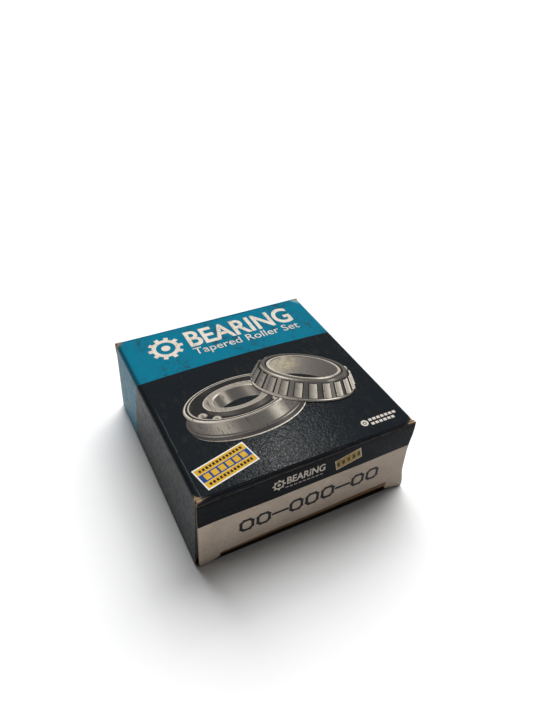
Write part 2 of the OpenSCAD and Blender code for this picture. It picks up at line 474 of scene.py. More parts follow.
# %% One sheet of board from two grids of points
def link_mesh(name, vertices, faces, materials, slots=None, angle=40):
    """A new piece from points in metres; edges sharper than angle degrees stay crisp."""
    mesh = bpy.data.meshes.new(name)
    mesh.from_pydata([tuple(v) for v in vertices], [], faces)
    for material in materials:
        mesh.materials.append(material)
    if slots is not None:
        mesh.polygons.foreach_set("material_index", slots)
    mesh.validate()
    work = bmesh.new()
    work.from_mesh(mesh)
    bmesh.ops.recalc_face_normals(work, faces=work.faces)
    work.to_mesh(mesh)
    work.free()
    mesh.shade_smooth()
    mesh.set_sharp_from_angle(angle=math.radians(angle))
    piece = bpy.data.objects.new(name, mesh)
    bpy.context.scene.collection.objects.link(piece)
    return piece


def store(piece, name, values):
    """Keeps one number with every point of the piece."""
    attribute = piece.data.attributes.new(name, "FLOAT", "POINT")
    attribute.data.foreach_set("value", np.asarray(values, np.float32))


def cells(number):
    """The four corner indices of every cell of a grid of indices."""
    rows, columns = number.shape
    return [[number[r, c], number[r, c + 1], number[r + 1, c + 1], number[r + 1, c]]
            for r in range(rows - 1) for c in range(columns - 1)]


def border(number):
    """The outer indices of a grid, in order round it, each with the one after it."""
    loop = [*number[0], *number[1:, -1], *number[-1, -2::-1], *number[-2:0:-1, 0]]
    return zip(loop, loop[1:] + loop[:1])


def make_board(name, outer, inner, rub, materials):
    """outer and inner are rows x columns x 3 in millimetres; rub is rows x columns."""
    number = np.arange(rub.size).reshape(rub.shape)
    deep = number.size
    faces, slots = [], []
    for a, b, c, d in cells(number):
        faces += [[a, b, c, d], [deep + a, deep + d, deep + c, deep + b]]
        slots += [0, 1]
    for a, b in border(number):
        faces.append([a, deep + a, deep + b, b])
        slots.append(2)
    vertices = np.concatenate([outer.reshape(-1, 3), inner.reshape(-1, 3)]) * MM
    piece = link_mesh(name, vertices, [[int(i) for i in f] for f in faces], materials, slots)
    store(piece, "rub", np.concatenate([rub.ravel(), rub.ravel()]))
    return piece


def ease(start, end, value):
    """0 before start, 1 after end, smooth between."""
    t = np.clip((value - start) / (end - start), 0, 1)
    return t * t * (3 - 2 * t)


print("a quarter of the way through a soft step:", ease(0, 1, 0.25))

# %% [markdown]
# ## The sleeve
# Top, two sides, bottom and the glued seam are one strip of board folded four times. A box of flat
# plates would look like sheet metal, so the strip is drawn as one outline with small round
# creases and carried from end to end. The top crowns a little over its contents, the left side has
# splayed out at its foot, and the bottom's two ends stand a hair off the table.

# %% How the worn sleeve departs from flat
CREASE = 1.4


def top_rise(x, y):
    """Height of the crowned top over its creases."""
    crown = 0.62 * (1 - (x / HALF_WIDTH) ** 2) * (1 - (y / HALF_DEPTH) ** 2)
    dents = 0.10 * np.sin(x * 0.11 + 0.6) * np.sin(y * 0.09 + 1.0) * (1 - (x / HALF_WIDTH) ** 2)
    return crown + dents


def bottom_lift(x, y):
    """How far the bottom's edges stand off the table at the two ends."""
    near_end = ease(HALF_DEPTH - 9, HALF_DEPTH - 0.5, np.abs(y))
    return 0.05 * near_end * ease(41, 34, np.abs(x))


def side_bulge(y, z, side=1):
    """Outward bow of a side panel; the left one (side -1) is also splayed at its foot."""
    share = np.clip(z / HEIGHT, 0, 1)
    bow = 0.25 * (1 - (y / HALF_DEPTH) ** 2) * np.sin(math.pi * share)
    splay = (1 - share) ** 1.4 * (0.85 - 0.45 * y / HALF_DEPTH)
    return bow + np.where(np.asarray(side) < 0, splay, 0)


print("crown", round(top_rise(0, 0), 2), "splay at the left foot", round(float(side_bulge(0, 0, -1)), 2))

# %% The strip's outline: position and outward direction
SEAM_WIDTH = 13.5
SEAM_HALF = 40
SEAM_TAPER = 4
SEAM_POINTS = 11


def sleeve_outline():
    """Points of the strip seen from the front, each as x, z and its outward direction."""
    points = []

    def straight(start, end, normal, count):
        for t in np.linspace(0, 1, count, endpoint=False):
            points.append([start[0] + t * (end[0] - start[0]), start[1] + t * (end[1] - start[1]),
                           *normal])

    def corner(x, z, start_degrees, radius, count=7):
        for t in np.linspace(0, 90, count, endpoint=False):
            a = math.radians(start_degrees + t)
            points.append([x + radius * math.cos(a), z + radius * math.sin(a),
                           math.cos(a), math.sin(a)])

    w, h, r = HALF_WIDTH, HEIGHT, CREASE
    seam = w - BOARD - 0.02
    straight((w, 0.12), (w, h - r), (1, 0), 24)
    corner(w - r, h - r, 0, r)
    straight((w - r, h), (-w + r, h), (0, 1), 72)
    corner(-w + r, h - r, 90, r)
    straight((-w, h - r), (-w, r), (-1, 0), 30)
    corner(-w + r, r, 180, r)
    straight((-w + r, 0), (seam - r, 0), (0, -1), 60)
    corner(seam - r, r, 270, r)
    straight((seam, r), (seam, SEAM_WIDTH), (1, 0), SEAM_POINTS - 1)
    points.append([seam, SEAM_WIDTH, 1, 0])
    return np.array(points)


outline = sleeve_outline()
print("the strip's outline has", len(outline), "points")

# %% Fold the sleeve
stations = np.linspace(-1, 1, 91)
outline_x, outline_z, normal_x, normal_z = outline.T
is_top, is_bottom = normal_z > 0.9, normal_z < -0.9
end_y = np.where(is_bottom, HALF_DEPTH - 0.3, HALF_DEPTH - 1.25)
end_y = np.where(is_top, HALF_DEPTH - 1.1, end_y)
on_seam = np.arange(len(outline)) >= len(outline) - SEAM_POINTS
end_y = np.where(on_seam, SEAM_HALF - SEAM_TAPER * np.clip(outline_z / SEAM_WIDTH, 0, 1), end_y)
grid_y = stations[:, None] * end_y[None, :]
grid_x = np.broadcast_to(outline_x, grid_y.shape)
grid_z = np.broadcast_to(outline_z, grid_y.shape)
faces_up, faces_down = np.clip(normal_z, 0, 1), np.clip(-normal_z, 0, 1)
shift_z = faces_up * top_rise(grid_x, grid_y) + faces_down * bottom_lift(grid_x, grid_y)
shift_x = np.where(on_seam, 0, normal_x) * side_bulge(grid_y, grid_z, normal_x)
shift_x = np.where(is_bottom | (faces_down > 0), -side_bulge(grid_y, 0 * grid_z, -1)
                   * np.clip((-28 - grid_x) / (HALF_WIDTH - 28), 0, 1), shift_x)
outer = np.stack([grid_x + shift_x, grid_y, grid_z + shift_z], -1)
inward = np.stack([normal_x, 0 * normal_x, normal_z], -1)[None] * (BOARD - 0.02)
to_crease = HALF_WIDTH - np.abs(grid_x) + np.minimum(HEIGHT - grid_z, grid_z)
to_end = HALF_DEPTH - np.abs(grid_y)
rub = np.clip(1 - to_crease / 1.3, 0, 1) * 0.62
rub = rub + np.clip(1 - (to_crease + to_end) / 6.5, 0, 1) * 0.8
rub = rub + np.clip(1 - (to_end - 1) / 1.2, 0, 1) * 0.25
sleeve = make_board("carton_sleeve_board", outer, outer - inward, rub, BOARD_SIDES)
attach(sleeve, "carton_sleeve")
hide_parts(*SLEEVE_NODES)
print("sleeve board:", len(sleeve.data.polygons), "faces")

# %% [markdown]
# ## The two ends
# Each end panel hangs from the top's crease and ends below in a tuck flap between two slanted feet.
# It is the most handled piece, so it is not flat: it bows, its right edge is crushed a little
# narrower at mid height, and its upper right corner stands up as a small ear. Its outer face laps a
# little over the tuck's crease, so the fold shows as a thin raw line and not as a gap.

# %% The end panel's lower edge and its warp
LAP = 0.25


def tuck_line(x):
    """Height of the tuck's crease, which runs a little aslant."""
    return TUCK_Z + 0.35 * x / TUCK_HALF


def lower_edge(x):
    """Height of the end panel's lower edge: the lap in the middle, feet outside it."""
    reach = np.abs(x)
    foot = np.interp(reach, [TUCK_HALF + 0.5, HALF_WIDTH - 1, HALF_WIDTH], [1.4, 0.1, 0.4])
    return np.where(reach <= TUCK_HALF, tuck_line(x) - LAP, foot)


def end_bow(x, z):
    """Outward bow of an end panel, seen from outside with x to the right."""
    mid = np.sin(math.pi * np.clip(z / HEIGHT, 0, 1))
    flare = 0.45 * ease(36, 43, x) * ease(9, 1, z)
    dents = 0.09 * np.sin(x * 0.17 + 1.1) * np.sin(z * 0.25)
    left = 0.18 * ease(-34, -43, x)
    fold = 0.12 * ease(fold_line(x) + 0.2, TUCK_Z - 0.6, z)
    fold = fold * ease(TUCK_HALF + 1.5, TUCK_HALF, np.abs(x))
    score = 0.16 * np.exp(-((z - 0.021 * x - 32.9) / 0.35) ** 2)
    bow = 0.28 * mid * (1 - (x / HALF_WIDTH) ** 2)
    return bow + flare + left + np.maximum(dents, -0.05) - fold - score


def edge_crush(x, z):
    """How much narrower the crushed right edge is."""
    return 0.95 * ease(34, 43, x) * ease(2, 11, z) * ease(32, 20, z)


def corner_ear(x, z):
    """How far the upper right corner stands up."""
    return 0.55 * ease(38.5, 42.5, x) * ease(32.5, 34.4, z)


print("bow at mid height", round(float(end_bow(0, HEIGHT / 2)), 2), "ear", corner_ear(43, HEIGHT))

# %% Cut and warp an end panel
END_TOP = HEIGHT - 0.8


def end_columns():
    """Places across an end panel: even in the middle, closer over the two feet."""
    side = np.linspace(TUCK_HALF + 0.08, HALF_WIDTH, 16)
    return np.concatenate([-side[::-1], np.linspace(-TUCK_HALF, TUCK_HALF, 61), side])


def make_end_panel(name, facing, materials):
    """facing is -1 for the front end and 1 for the rear end."""
    columns = end_columns()
    share = np.linspace(0, 1, 34)[:, None]
    x = np.broadcast_to(columns, (34, len(columns)))
    z = END_TOP + share * (lower_edge(x) - END_TOP)
    out = end_bow(x, z)
    turned_x = (x - edge_crush(x, z)) * -facing
    outer = np.stack([turned_x, facing * (HALF_DEPTH + out), z + corner_ear(x, z)], -1)
    inner = outer - np.array([0, facing * (BOARD - 0.02), 0])
    inner[..., 2] = np.where(np.abs(x) <= TUCK_HALF, np.maximum(inner[..., 2], tuck_line(x)),
                             inner[..., 2])
    to_side = HALF_WIDTH - np.abs(x)
    to_low = z - lower_edge(x)
    rub = np.clip(1 - to_side / 1.0, 0, 1) * 0.55 + np.clip(1 - to_low / 0.9, 0, 1) * 0.45
    rub = rub + np.clip(1 - (to_side + HEIGHT - z) / 2.4, 0, 1) * 0.45
    return make_board(name, outer, inner, rub, materials)


for end, facing, ink in ENDS:
    panel = make_end_panel(end + "_end_board", facing, [ink, BARE_INSIDE, CUT_EDGE])
    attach(panel, end + "_end")
    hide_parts(end + "_end_panel")
    print(panel.name, "faces:", len(panel.data.polygons))

# The top crease keeps the score's shallow groove, which is the dark double line along the real
# edge.

# %% Bend a strip of board round a crease
def make_crease(name, path, along, materials, rub_level):
    """path(t, s) gives outer point and outward normal at t across (0 to 1) and s along."""
    across = np.linspace(0, 1, 17)
    outer, normal = np.moveaxis(np.array([[path(t, s) for s in along] for t in across]), 2, 0)
    rub = rub_level * np.sin(math.pi * across[:, None]) ** 2 + 0.55 * ease(37, 43, np.abs(along))
    return make_board(name, outer, outer - normal * (BOARD - 0.03), rub, materials)


def top_crease_path(facing):
    """From the top panel, over the score line, round to the end panel."""
    start_y, radius = HALF_DEPTH - 1.08, 0.75

    def path(t, x):
        out = float(end_bow(x, END_TOP)) * float(ease(0.5, 1, t))
        ear = float(corner_ear(x, END_TOP)) * float(ease(0.45, 1, t))
        run = HALF_DEPTH - radius - start_y
        if t < 0.35:
            s = t / 0.35
            groove = -0.16 * math.sin(math.pi * s)
            point, normal = (start_y + s * run, HEIGHT + groove), (0, 1)
        else:
            a = math.pi / 2 * (1 - (t - 0.35) / 0.65)
            point = (HALF_DEPTH - radius + radius * math.cos(a),
                     HEIGHT - radius + radius * math.sin(a))
            normal = (math.cos(a), math.sin(a))
        side = x if facing < 0 else -x
        return ([side, facing * (point[0] + out), point[1] + ear],
                [0, facing * normal[0], normal[1]])

    return path


for end, facing, ink in ENDS:
    strip = make_crease(end + "_top_crease", top_crease_path(facing),
                        np.linspace(-HALF_WIDTH + 0.3, HALF_WIDTH - 0.3, 87),
                        [ink, BARE_INSIDE, CUT_EDGE], 0.34)
    end + "_end"
    facing * (HALF_DEPTH - 0.9) * MM
    facing * HALF_DEPTH * MM
    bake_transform(strip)
    print(strip.name, "faces:", len(strip.data.polygons))

# %% [markdown]
# ## Tuck and dust flaps
# Behind each end panel a tuck flap slips in over the bottom, and two tapered dust flaps close the
# gaps beside it. They show their bare side when the carton is opened.

# %% The tuck flaps
TUCK_DEPTH = 9.0
TUCK_START = 0.55
TUCK_LEAN = math.radians(1.5)


def make_tuck(name, facing):
    """A shallow flap, leaning up a little, with its two far corners rounded off."""
    v = np.linspace(0, 1, 13)[:, None]
    reach = TUCK_START + v * (TUCK_DEPTH - TUCK_START)
    rounding = 1 - np.sqrt(1 - 0.98 * ease(TUCK_DEPTH - 4, TUCK_DEPTH, reach) ** 2)
    x = np.linspace(-1, 1, 41) * (TUCK_HALF - 0.15 - 4.2 * rounding)
    base = TUCK_Z + (tuck_line(-facing * x) - TUCK_Z) * (1 - v)
    z = base + reach * math.tan(TUCK_LEAN) + 0.12 * np.sin(math.pi * v)
    y = facing * (HALF_DEPTH - reach + 0 * x)
    outer = np.stack([x, y, z], -1)
    rub = np.clip(1 - (TUCK_DEPTH - reach + 0 * x) / 1.5, 0, 1) * 0.5
    return make_board(name, outer, outer + [0, 0, BOARD - 0.04], rub, BOARD_SIDES)


for end, facing in (("front", -1), ("rear", 1)):
    tuck = make_tuck(end + "_tuck_board", facing)
    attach(tuck, end + "_tuck")
    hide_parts(end + "_tuck_flap")
    print(tuck.name, [round(v / MM, 2) for v in tuck.dimensions])


# %% The creases between the end panels and the tuck flaps
def tuck_crease_path(facing):
    """From the end panel's lower edge, round and in to the tuck flap."""
    radius = TUCK_START

    def path(t, x):
        side = x if facing < 0 else -x
        level = float(lower_edge(x))
        out = float(end_bow(x, level)) * (1 - t)
        a = math.pi / 2 * t
        return ([side, facing * (HALF_DEPTH - radius + radius * math.cos(a) + out),
                 level + 0.02 + radius * (1 - math.sin(a)) * (1 - t) ** 0.5 * 0.2],
                [0, facing * math.cos(a), -math.sin(a)])
    return path


for end, facing, ink in ENDS:
    strip = make_crease(end + "_tuck_crease", tuck_crease_path(facing),
                        np.linspace(-TUCK_HALF, TUCK_HALF, 61),
                        [CUT_EDGE, BARE_INSIDE, CUT_EDGE], 0.7)
    end + "_end"
    end + "_tuck"
    facing * HALF_DEPTH * MM
    facing * (HALF_DEPTH - 0.6) * MM
    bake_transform(strip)
    print(strip.name, "faces:", len(strip.data.polygons))

# %% The dust flaps and their creases
DUST_INSET = 0.6
DUST_REACH = 22.0


def make_dust(name, side, facing):
    """side is -1 left or 1 right; the flap hangs from the side panel's end crease."""
    reach = np.linspace(0.55, DUST_REACH, 24)[None, :]
    share = np.linspace(0, 1, 20)[:, None]
    bottom = 4.2 + 0.8 * reach / DUST_REACH
    top = HEIGHT - 1 - 0.66 * reach
    z = bottom + share * (top - bottom)
    bend = 0.12 * np.sin(math.pi * reach / DUST_REACH) * np.sin(math.pi * share)
    y = facing * (HALF_DEPTH - DUST_INSET - bend)
    outer = np.stack([side * (HALF_WIDTH - reach + 0 * share), y, z], -1)
    inner = outer - np.array([0, facing * (BOARD - 0.03), 0])
    rub = np.clip(1 - (DUST_REACH - reach + 0 * share) / 1.2, 0, 1) * 0.5
    return make_board(name, outer, inner, rub, BOARD_SIDES)


def dust_crease_path(side, facing):
    """From a side panel's end, round to the dust flap behind the end panel."""
    radius = 0.6

    def path(t, z):
        a = math.pi / 2 * t
        bow = float(side_bulge(facing * (HALF_DEPTH - 1.25), z, side)) * (1 - t)
        return ([side * (HALF_WIDTH - radius + radius * math.cos(a) + bow),
                 facing * (HALF_DEPTH - DUST_INSET - radius + radius * math.sin(a)), z],
                [side * math.cos(a), facing * math.sin(a), 0])
    return path


for end, facing in (("front", -1), ("rear", 1)):
    for hand, side in (("left", -1), ("right", 1)):
        name = f"{end}_{hand}_dust"
        flap = make_dust(name + "_board", side, facing)
        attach(flap, name)
        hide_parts(name + "_flap")
        strip = make_crease(name + "_crease", dust_crease_path(side, facing),
                            np.linspace(4.4, HEIGHT - 1.4, 25), BOARD_SIDES, 0.3)
        facing * (HALF_DEPTH - 1.25) * MM
        facing * (HALF_DEPTH - 0.6) * MM
        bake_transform(strip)
print("four dust flaps and their creases made")

# %% [markdown]
# ## Printing
# The marks on the carton are laid on as thin films of ink, a few hundredths of a millimetre thick.
# Each is cut to shape in the flat and then pressed onto the crowned panel. Only plain marks are used:
# a gear, a general word, bars where small print would be, and noughts where a number would be.

# %% Press a flat shape onto a panel
INK_LOW, INK_HIGH = 0.015, 0.045


def on_top(u, v, lift):
    """A point of the top panel's print, u to the right and v to the rear, in millimetres."""
    return (u, v, HEIGHT + float(top_rise(u, v)) + lift)


def on_front(u, v, lift):
    """A point of the front end's print, u to the right and v up."""
    return (u, -HALF_DEPTH - float(end_bow(u, v)) - lift, v)


def film(name, outlines, press, material, body, low=INK_LOW, high=INK_HIGH):
    """Closed thin films: each outline is a list of (u, v) corners in order."""
    vertices, faces = [], []
    for outline in outlines:
        first, count = len(vertices), len(outline)
        vertices += [press(u, v, low) for u, v in outline] + [press(u, v, high) for u, v in outline]
        faces.append(list(range(first + count - 1, first - 1, -1)))
        faces.append(list(range(first + count, first + 2 * count)))
        faces += [[first + i, first + (i + 1) % count, first + count + (i + 1) % count,
                   first + count + i] for i in range(count)]
    piece = link_mesh(name, np.array(vertices) * MM, faces, [material], angle=30)
    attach(piece, body)
    print(name, "outlines:", len(outlines))


def box_outline(u, v, wide, high, turn=0.0, pieces=1):
    """Corners of a rectangle centred on (u, v), its long sides cut into pieces."""
    a = math.radians(turn)
    t = np.linspace(-wide / 2, wide / 2, pieces + 1)
    corners = [(s, -high / 2) for s in t] + [(s, high / 2) for s in t[::-1]]
    return [(u + s * math.cos(a) - w * math.sin(a), v + s * math.sin(a) + w * math.cos(a))
            for s, w in corners]


def ring_outline(u, v, outside, inside, steps):
    """A ring as short quads, so that it is closed and follows the panel."""
    angles = np.radians(np.linspace(0, 360, steps + 1))
    rim = [[(u + r * math.cos(a), v + r * math.sin(a)) for a in angles] for r in (inside, outside)]
    return [[rim[0][i], rim[1][i], rim[1][i + 1], rim[0][i + 1]] for i in range(steps)]


print("the middle of the top's print is at", on_top(0, 0, INK_HIGH))

# %% The inks of the marks
def mark_ink(name, color, under, wear=0.5, gloss=0.34):
    """A printed mark's ink, rubbed through in specks to the colour under it."""
    finish = Finish(name, Specular_IOR_Level=0.28)
    lost = finish.grain(0.7, 4.0, 0.7) * 0.6 + finish.grain(3.5, 3.0, 0.6, shift=0.4) * 0.5
    lost = lost.rise(0.72 - 0.12 * wear, 0.84 - 0.12 * wear)
    tone = finish.mix(finish.grain(1.6, 3.0, 0.6, shift=1.1), color,
                      tuple(c * 0.72 for c in color))
    rust = finish.grain(0.8, 4.0, 0.65, shift=5.5).rise(0.50, 0.62)
    rust = rust * finish.grain(9, 2.0, shift=6.5).rise(0.42, 0.60)
    tone = finish.mix(rust * wear * 0.8, tone, paint(112, 84, 58))
    finish.set(Base_Color=finish.mix(lost * 0.75, tone, under),
               Roughness=finish.grain(1.1, 2.0, shift=2.0) * 0.25 + gloss)
    finish.bump(finish.grain(0.75, 2.0), 0.02)
    return finish.material


CREAM_ON_TEAL = mark_ink("cream_ink_on_teal", CREAM, paint(46, 60, 60), 0.9)
CREAM_ON_BLACK = mark_ink("cream_ink_on_black", paint(214, 206, 196), CHARCOAL, 0.2)
CREAM_ON_END = mark_ink("cream_ink_on_end", paint(212, 203, 190), CHARCOAL, 0.6)
NUMBER_INK = mark_ink("number_ink", paint(32, 34, 40), PALE_END, 0.1, gloss=0.5)
YELLOW_INK = mark_ink("yellow_ink", paint(214, 168, 48), paint(150, 110, 40), 0.4)
BLUE_INK = mark_ink("blue_ink", paint(28, 66, 128), paint(20, 30, 50), 0.2)
WHITE_INK = mark_ink("white_ink", paint(236, 234, 226), paint(150, 140, 120), 0.2)
DARK_INK = mark_ink("dark_ink", paint(40, 36, 32), paint(170, 130, 60), 0.2)
print("eight inks mixed for the marks")


# %% The gear, the word and the line under it
def gear_outlines(u, v, radius, teeth=10):
    """A plain toothed wheel with a round hub: ring, teeth and hub dot."""
    parts = ring_outline(u, v, radius * 0.80, radius * 0.56, 60)
    for k in range(teeth):
        a = 360 / teeth * k
        c, s = math.cos(math.radians(a)), math.sin(math.radians(a))
        parts.append(box_outline(u + c * radius * 0.88, v + s * radius * 0.88,
                                 radius * 0.26, radius * 0.26, a))
    return parts + ring_outline(u, v, radius * 0.26, radius * 0.02, 24)


def letters(name, words, box, press, material, body, weight=0.0):
    """A line of plain letters fitted to box = (u low, v low, u high, v high)."""
    data = bpy.data.curves.new(name, "FONT")
    data.body = words
    data.extrude = 0.5
    data.offset = weight
    data.resolution_u = 6
    text = bpy.data.objects.new(name + "_outline", data)
    bpy.context.scene.collection.objects.link(text)
    mesh = bpy.data.meshes.new_from_object(text.evaluated_get(
        bpy.context.evaluated_depsgraph_get()))
    bpy.data.objects.remove(text)
    work = bmesh.new()
    work.from_mesh(mesh)
    bmesh.ops.remove_doubles(work, verts=work.verts, dist=1e-5)
    points = np.array([v.co for v in work.verts])
    least, most = points.min(0), points.max(0)
    for vertex, point in zip(work.verts, points):
        share = (point - least) / (most - least)
        vertex.co = Vector(press(box[0] + share[0] * (box[2] - box[0]),
                                 box[1] + share[1] * (box[3] - box[1]),
                                 INK_HIGH if share[2] > 0.5 else INK_LOW)) * MM
    bmesh.ops.recalc_face_normals(work, faces=work.faces)
    work.to_mesh(mesh)
    work.free()
    mesh.materials.clear()
    mesh.materials.append(material)
    mesh.name = name
    piece = bpy.data.objects.new(name, mesh)
    bpy.context.scene.collection.objects.link(piece)
    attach(piece, body)
    print(name, "faces:", len(mesh.polygons))


film("gear_mark", gear_outlines(-25.2, 32.8, 7.2), on_top, CREAM_ON_TEAL, "carton_sleeve")
letters("top_word", "BEARING", (-15.4, 29.0, 33.2, 40.2), on_top, CREAM_ON_TEAL,
        "carton_sleeve", weight=0.022)
letters("top_line", "Tapered Roller Set", (-15.4, 22.3, 33.0, 28.0), on_top, CREAM_ON_TEAL,
        "carton_sleeve")

# %% The slanted label on the top
LABEL = (-28.3, -35.0)
LABEL_TURN = 13.5
LABEL_ROW = 3.1


def label_layer(name, bars, ink, low, high):
    """A layer of the label: bars of one width and height, each at (s along it, w across it)."""
    a = math.radians(LABEL_TURN)
    film(name, [box_outline(LABEL[0] + s * math.cos(a) - w * math.sin(a),
                            LABEL[1] + s * math.sin(a) + w * math.cos(a), wide, tall, LABEL_TURN, 4)
                for s, w, wide, tall in bars], on_top, ink, "carton_sleeve", low, high)


label_layer("label_white", [(0, 0, 21.2, 9.8)], WHITE_INK, 0.02, 0.07)
label_layer("label_yellow", [(0, w, 20.2, 2.6) for w in (LABEL_ROW, -LABEL_ROW)], YELLOW_INK,
            0.05, 0.09)
label_layer("label_blue", [(0, 0, 20.2, 3.4)], BLUE_INK, 0.05, 0.09)
label_layer("label_ticks", [(-8.4 + 1.4 * k, w, 0.9, 1.1) for w in (LABEL_ROW, -LABEL_ROW)
                            for k in range(13)], DARK_INK, 0.07, 0.11)
label_layer("label_blocks", [(-7.5 + 3.0 * k, 0, 2.2, 2.4) for k in range(6)], YELLOW_INK,
            0.07, 0.11)

# %% The small mark at the top's front right
MARK = (25.1, -37.9)
corner_mark = ring_outline(*MARK, 1.45, 0.75, 24) + ring_outline(*MARK, 0.4, 0.02, 12)
for row, count in ((0.7, 7), (-1.3, 6)):
    corner_mark += [box_outline(MARK[0] + 2.8 + 1.75 * k, MARK[1] + row, 1.25, 1.15)
                    for k in range(count)]
film("corner_mark", corner_mark, on_top, CREAM_ON_BLACK, "carton_sleeve")

# %% The front end's mark, word and small label
FRONT_LABEL = (14.5, 28.4)
film("front_gear", gear_outlines(-13.3, 28.4, 2.5, 8), on_front, CREAM_ON_END, "front_end")
letters("front_word", "BEARING", (-10.3, 27.4, 4.8, 30.9), on_front, CREAM_ON_END, "front_end",
        weight=0.02)
film("front_line", [box_outline(-10.2 + 1.7 * k, 26.0, 1.2, 0.35) for k in range(9)], on_front,
     CREAM_ON_END, "front_end")
OLD_YELLOW = mark_ink("faded_yellow_ink", paint(176, 146, 58), paint(96, 76, 36), 0.9, gloss=0.5)
film("front_label_edge", [box_outline(*FRONT_LABEL, 10.8, 5.0, 12)], on_front, CREAM_ON_END,
     "front_end", low=0.01, high=0.04)
film("front_label", [box_outline(*FRONT_LABEL, 10.2, 4.4, 12)], on_front, OLD_YELLOW, "front_end",
     low=0.02, high=0.06)
film("front_label_blocks", [box_outline(FRONT_LABEL[0] + 2.1 * k, FRONT_LABEL[1] + 0.45 * k,
                                        1.1, 2.2, 12) for k in range(-2, 3)],
     on_front, DARK_INK, "front_end", low=0.04, high=0.08)


# %% The row of noughts on the front end
def stroke_outlines(points, wide):
    """A pen stroke through points, as quads with square overlapping joints."""
    parts = []
    for a, b in zip(points, points[1:]):
        a, b = np.array(a), np.array(b)
        along = (b - a) / np.linalg.norm(b - a) * wide / 2
        side = np.array([-along[1], along[0]])
        parts.append([tuple(p) for p in (a - along - side, b + along - side,
                                         b + along + side, a - along + side)])
    return parts


def nought(u, v, wide, high, cut):
    """The path of a nought with its corners cut off."""
    w, h = wide / 2, high / 2
    return [(u - w + cut, v - h), (u + w - cut, v - h), (u + w, v - h + cut), (u + w, v + h - cut),
            (u + w - cut, v + h), (u - w + cut, v + h), (u - w, v + h - cut), (u - w, v - h + cut),
            (u - w + cut, v - h)]


ROW_LEFT, ROW_RIGHT, ROW_HEIGHT = -28.3, 30.0, 13.5
SIGNS = "00-000-00"
strokes = []
for k, sign in enumerate(SIGNS):
    u = ROW_LEFT + (k + 0.5) * (ROW_RIGHT - ROW_LEFT) / len(SIGNS)
    v = ROW_HEIGHT + (u - ROW_LEFT) * 0.022
    path = nought(u, v, 4.5, 5.2, 1.1) if sign == "0" else [(u - 2.8, v), (u + 2.8, v)]
    strokes += stroke_outlines(path, 1.15)
film("front_number", strokes, on_front, NUMBER_INK, "front_end")

# %% The faint line of small print on the left side
def on_left(u, v, lift):
    """A point of the left side's print, u to the rear and v up."""
    return (-HALF_WIDTH - float(side_bulge(u, v, -1)) - lift, u, v)


SIDE_INK = mark_ink("side_ink", paint(96, 150, 165), TEAL, 0.8)
film("side_line", [box_outline(43 - 1.9 * k, 15.5, 1.3, 1.5) for k in range(1, 8)], on_left,
     SIDE_INK, "carton_sleeve")

# %% [markdown]
# ## The printed picture of two bearings
# The top shows a ball bearing with a flange and, leaning on it, a cone with its cage and rollers.
# A flat drawing of so many curves would be hard to get right by hand, so both are modelled as real
# solids, looked at from one side, and then squashed to a film a fraction of a millimetre thick: the
# solids still hide one another in the right order. Each corner keeps the tone that real steel would
# have, worked out here from its direction, so the picture stays a print under any light.

